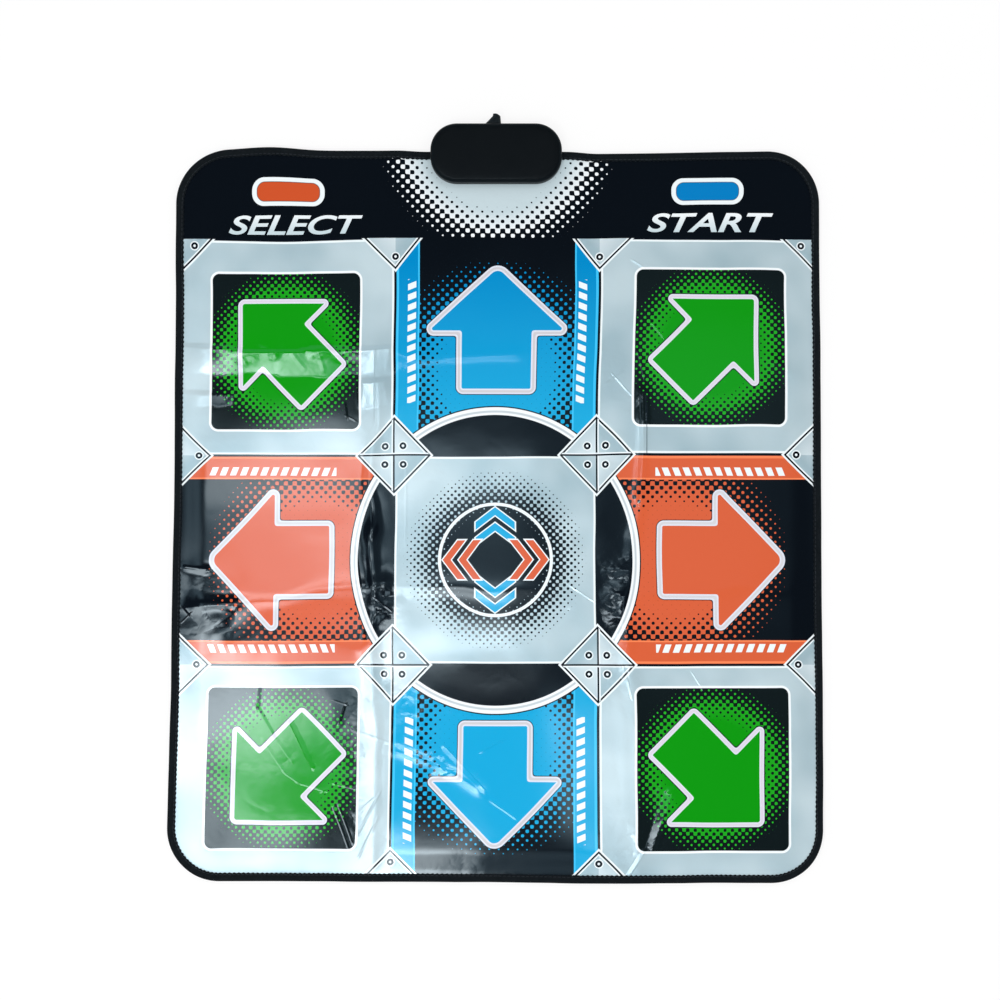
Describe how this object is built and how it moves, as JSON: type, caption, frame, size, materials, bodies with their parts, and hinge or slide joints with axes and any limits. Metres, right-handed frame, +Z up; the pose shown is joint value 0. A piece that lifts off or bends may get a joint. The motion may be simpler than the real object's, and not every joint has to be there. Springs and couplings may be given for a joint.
{
  "type": "dance mat controller",
  "caption": "Soft foot-operated game mat with arrow pads and two round-ended buttons in a printed glossy cover, bound edges and a clamped control box.",
  "frame": {"origin": "centre of the mat's underside, on the floor", "axes": "+Z up, +Y from the player's side to the control box, +X to the player's right"},
  "size_m": [0.83, 0.9778, 0.023],
  "materials": {
    "printed_film": "clear glossy vinyl film over silver and black print, lightly wrinkled",
    "blue_print": "glossy vinyl film over blue and black halftone print",
    "orange_print": "glossy vinyl film over orange and black halftone print",
    "green_print": "glossy vinyl film over green and black halftone print",
    "binding_tape": "woven black edging tape",
    "seam_thread": "black lockstitch thread",
    "anti_slip_sheet": "embossed black anti-slip sheet",
    "spacer_foam": "closed-cell foam",
    "circuit_film": "clear film with printed conductors",
    "contact_foil": "dull conductive foil",
    "box_plastic": "black moulded plastic, satin",
    "board_laminate": "green circuit laminate",
    "chip_epoxy": "matt black epoxy",
    "metal_can": "drawn can",
    "capacitor_sleeve": "shrunk sleeve",
    "white_nylon": "natural nylon",
    "screw_steel": "zinc plated",
    "boot_rubber": "soft black moulding"
  },
  "bodies": {
    "mat": {"bottom_cover": "anti_slip_sheet", "lower_film": "circuit_film", "spacer_foam": "spacer_foam", "upper_film": "circuit_film", "top_cover": "printed_film", "edge_binding": "binding_tape", "binding_stitch": "seam_thread", "box_lower_shell": "box_plastic", "box_upper_shell": "box_plastic", "circuit_board": "board_laminate", "controller_chip": "chip_epoxy", "board_crystal": "metal_can", "board_capacitor": "capacitor_sleeve", "cord_connector": "white_nylon", "tail_clamp": "white_nylon", "tail_pressure_pad": "boot_rubber", "clamp_screw_1": "screw_steel", "clamp_screw_2": "screw_steel", "shell_screw_1": "screw_steel", "shell_screw_2": "screw_steel", "shell_screw_3": "screw_steel", "shell_screw_4": "screw_steel", "cord_boot": "boot_rubber", "up_lower_contact": "contact_foil", "down_lower_contact": "contact_foil", "left_lower_contact": "contact_foil", "right_lower_contact": "contact_foil", "up_left_lower_contact": "contact_foil", "up_right_lower_contact": "contact_foil", "down_left_lower_contact": "contact_foil", "down_right_lower_contact": "contact_foil", "select_lower_contact": "contact_foil", "start_lower_contact": "contact_foil"},
    "up_switch": {"up_pad": "blue_print", "up_upper_contact": "contact_foil"},
    "down_switch": {"down_pad": "blue_print", "down_upper_contact": "contact_foil"},
    "left_switch": {"left_pad": "orange_print", "left_upper_contact": "contact_foil"},
    "right_switch": {"right_pad": "orange_print", "right_upper_contact": "contact_foil"},
    "up_left_switch": {"up_left_pad": "green_print", "up_left_upper_contact": "contact_foil"},
    "up_right_switch": {"up_right_pad": "green_print", "up_right_upper_contact": "contact_foil"},
    "down_left_switch": {"down_left_pad": "green_print", "down_left_upper_contact": "contact_foil"},
    "down_right_switch": {"down_right_pad": "green_print", "down_right_upper_contact": "contact_foil"},
    "select_switch": {"select_pad": "orange_print", "select_upper_contact": "contact_foil"},
    "start_switch": {"start_pad": "blue_print", "start_upper_contact": "contact_foil"}
  },
  "joints": [
    {"name": "up_press", "type": "slide", "parent": "mat", "child": "up_switch", "axis": [0, 0, -1], "range_m": [0, 0.0028], "stiffness_N_per_m": 4000, "springref_m": -0.0004},
    {"name": "down_press", "type": "slide", "parent": "mat", "child": "down_switch", "axis": [0, 0, -1], "range_m": [0, 0.0028], "stiffness_N_per_m": 4000, "springref_m": -0.0004},
    {"name": "left_press", "type": "slide", "parent": "mat", "child": "left_switch", "axis": [0, 0, -1], "range_m": [0, 0.0028], "stiffness_N_per_m": 4000, "springref_m": -0.0004},
    {"name": "right_press", "type": "slide", "parent": "mat", "child": "right_switch", "axis": [0, 0, -1], "range_m": [0, 0.0028], "stiffness_N_per_m": 4000, "springref_m": -0.0004},
    {"name": "up_left_press", "type": "slide", "parent": "mat", "child": "up_left_switch", "axis": [0, 0, -1], "range_m": [0, 0.0028], "stiffness_N_per_m": 4000, "springref_m": -0.0004},
    {"name": "up_right_press", "type": "slide", "parent": "mat", "child": "up_right_switch", "axis": [0, 0, -1], "range_m": [0, 0.0028], "stiffness_N_per_m": 4000, "springref_m": -0.0004},
    {"name": "down_left_press", "type": "slide", "parent": "mat", "child": "down_left_switch", "axis": [0, 0, -1], "range_m": [0, 0.0028], "stiffness_N_per_m": 4000, "springref_m": -0.0004},
    {"name": "down_right_press", "type": "slide", "parent": "mat", "child": "down_right_switch", "axis": [0, 0, -1], "range_m": [0, 0.0028], "stiffness_N_per_m": 4000, "springref_m": -0.0004},
    {"name": "select_press", "type": "slide", "parent": "mat", "child": "select_switch", "axis": [0, 0, -1], "range_m": [0, 0.0028], "stiffness_N_per_m": 1500, "springref_m": -0.0004},
    {"name": "start_press", "type": "slide", "parent": "mat", "child": "start_switch", "axis": [0, 0, -1], "range_m": [0, 0.0028], "stiffness_N_per_m": 1500, "springref_m": -0.0004}
  ]
}
